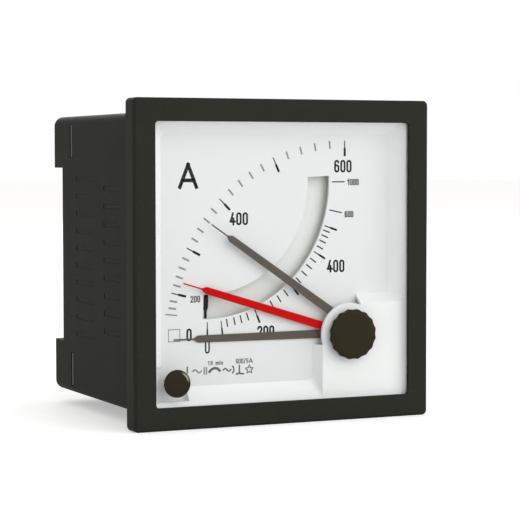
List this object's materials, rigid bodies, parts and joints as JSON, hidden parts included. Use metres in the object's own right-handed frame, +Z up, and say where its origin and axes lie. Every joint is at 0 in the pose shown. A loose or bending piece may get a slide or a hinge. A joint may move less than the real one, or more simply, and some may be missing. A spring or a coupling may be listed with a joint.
{
  "type": "analog panel meter",
  "caption": "Square flush panel meter: thermal demand movement with drag hands and reset knob, and a moving-iron movement behind a curved dial slot.",
  "frame": {"origin": "centre of the bezel's rear face, where the meter seats on the panel", "axes": "+Y points into the panel, away from whoever reads the dial; +X to the reader's right; +Z up"},
  "size_m": [0.096, 0.0836, 0.096],
  "materials": {
    "bezel_black": "fine matt moulding, black",
    "case_black": "fine matt moulding, black",
    "knob_black": "matt moulding, black",
    "clear_pane": "clear pane",
    "mask_white": "satin white moulding",
    "dial_white": "matt white paint with black printing",
    "floor_grey": "matt pale grey paint",
    "hand_brown": "satin brown-grey paint",
    "hand_red": "bright red paint",
    "hand_black": "matt black paint",
    "brass": "turned brass",
    "spring_steel": "bright strip",
    "steel_plate": "zinc plated",
    "aluminium_sheet": "rolled sheet",
    "iron_sheet": "soft iron sheet",
    "bronze_strip": "rolled strip",
    "former_plastic": "natural moulding",
    "enamelled_wire": "enamelled copper wire",
    "core_laminations": "lacquered sheet stack",
    "copper_strip": "tinned copper strip"
  },
  "bodies": {
    "case": {"front_bezel": "bezel_black", "window_pane": "clear_pane", "mask_frame": "mask_white", "dial_plate": "dial_white", "slot_floor": "floor_grey", "housing": "case_black", "knob_bush": "brass", "drag_washer": "spring_steel", "sleeve_clip": "spring_steel", "iron_front_bridge": "brass", "iron_rear_bridge": "brass", "bridge_posts": "brass", "spindle_bush": "brass", "hairspring": "bronze_strip", "coil_bobbin": "former_plastic", "coil_winding": "enamelled_wire", "fixed_iron": "iron_sheet", "damping_chamber": "former_plastic", "rear_jewel_screw": "brass", "thermal_front_plate": "aluminium_sheet", "thermal_rear_plate": "aluminium_sheet", "thermal_posts": "brass", "thermal_end_screw": "brass", "working_spiral": "bronze_strip", "compensating_spiral": "bronze_strip", "spiral_anchors": "brass", "movement_plate": "steel_plate", "plate_pillars": "steel_plate", "plate_screws": "steel_plate", "transformer_core": "core_laminations", "transformer_bobbin": "former_plastic", "transformer_winding": "enamelled_wire", "transformer_bracket": "steel_plate", "terminal_studs": "brass", "stud_washers": "steel_plate", "stud_nuts": "brass", "connection_straps": "copper_strip"},
    "reset_knob": {"reset_knob": "knob_black", "knob_spindle": "brass", "reset_dog": "spring_steel"},
    "zero_adjuster": {"zero_knob": "knob_black", "zero_clip": "spring_steel", "zero_crank": "knob_black"},
    "zero_lever": {"zero_lever": "spring_steel"},
    "demand_hand": {"demand_hand": "hand_brown", "demand_spindle": "spring_steel", "spiral_collet": "brass"},
    "red_drag_hand": {"red_drag_hand": "hand_red"},
    "grey_drag_hand": {"grey_drag_hand": "hand_brown"},
    "instant_hand": {"instant_hand": "hand_black", "balance_weights": "brass", "instant_spindle": "spring_steel", "moving_iron": "iron_sheet", "damping_vane": "aluminium_sheet"}
  },
  "joints": [
    {"name": "knob_turn", "type": "hinge", "parent": "case", "child": "reset_knob", "pos_m": [0.0223, -0.006, -0.0222], "axis": [0, 1, 0], "range_deg": [-120, 0]},
    {"name": "zero_turn", "type": "hinge", "parent": "case", "child": "zero_adjuster", "pos_m": [-0.0346, -0.006, -0.0344], "axis": [0, -1, 0], "range_deg": [-30, 30]},
    {"name": "zero_lever_swing", "type": "hinge", "parent": "case", "child": "zero_lever", "pos_m": [-0.0229, 0.0083, 0.0235], "axis": [0, -1, 0], "range_deg": [-0.6, 0.6]},
    {"name": "demand_turn", "type": "hinge", "parent": "case", "child": "demand_hand", "pos_m": [0.0223, -0.001, -0.0222], "axis": [0, 1, 0], "range_deg": [0, 92], "stiffness_Nm_per_rad": 0.0006},
    {"name": "red_drag_turn", "type": "hinge", "parent": "case", "child": "red_drag_hand", "pos_m": [0.0223, -0.002, -0.0222], "axis": [0, 1, 0], "range_deg": [-17, 75]},
    {"name": "grey_drag_turn", "type": "hinge", "parent": "case", "child": "grey_drag_hand", "pos_m": [0.0223, -0.0026, -0.0222], "axis": [0, 1, 0], "range_deg": [-36.5, 53]},
    {"name": "instant_turn", "type": "hinge", "parent": "case", "child": "instant_hand", "pos_m": [-0.0229, 0.001, 0.0235], "axis": [0, -1, 0], "range_deg": [0, 91], "stiffness_Nm_per_rad": 0.0004}
  ],
  "couplings": [
    {"joint": "zero_lever_swing", "follows": "zero_turn", "ratio": 0.01991}
  ]
}
